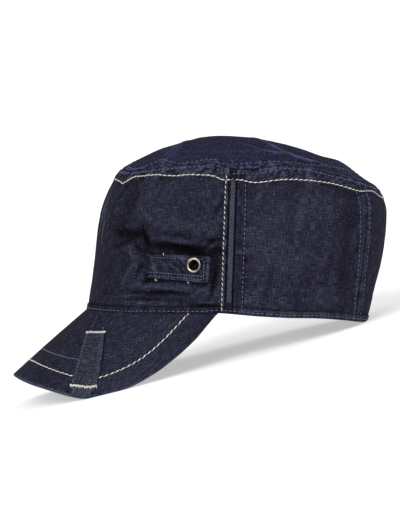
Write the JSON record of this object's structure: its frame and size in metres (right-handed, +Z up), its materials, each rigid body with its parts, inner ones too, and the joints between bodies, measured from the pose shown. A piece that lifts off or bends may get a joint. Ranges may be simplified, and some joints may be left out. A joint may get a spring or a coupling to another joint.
{
  "type": "peaked cap",
  "caption": "Soft denim cap with a tall panelled crown, a domed top, an arched stitched peak, and a small tab with a metal eyelet on the wearer's left.",
  "frame": {"origin": "middle of the bounding box, on the surface that the cap rests on", "axes": "+Z up from that surface, -Y towards the peak, +X towards the wearer's left, which carries the eyelet tab"},
  "size_m": [0.1732, 0.2908, 0.1577],
  "materials": {
    "denim_front": "dark indigo twill, matt",
    "denim_side": "dark indigo twill, matt",
    "denim_top": "dark indigo twill, matt",
    "denim_strip": "lighter grey-blue twill tape, matt",
    "denim_peak": "worn indigo twill, matt",
    "denim_tab": "dark indigo twill, matt",
    "aged_copper": "aged copper, rubbed bright on its lip"
  },
  "bodies": {
    "root": {"crown_front": "denim_front", "crown_side_left": "denim_side", "crown_side_right": "denim_side", "crown_back": "denim_side", "crown_top": "denim_top", "side_strip_left": "denim_strip", "side_strip_right": "denim_strip", "peak": "denim_peak", "peak_loop": "denim_peak", "eyelet_tab": "denim_tab", "eyelet": "aged_copper"}
  },
  "joints": []
}
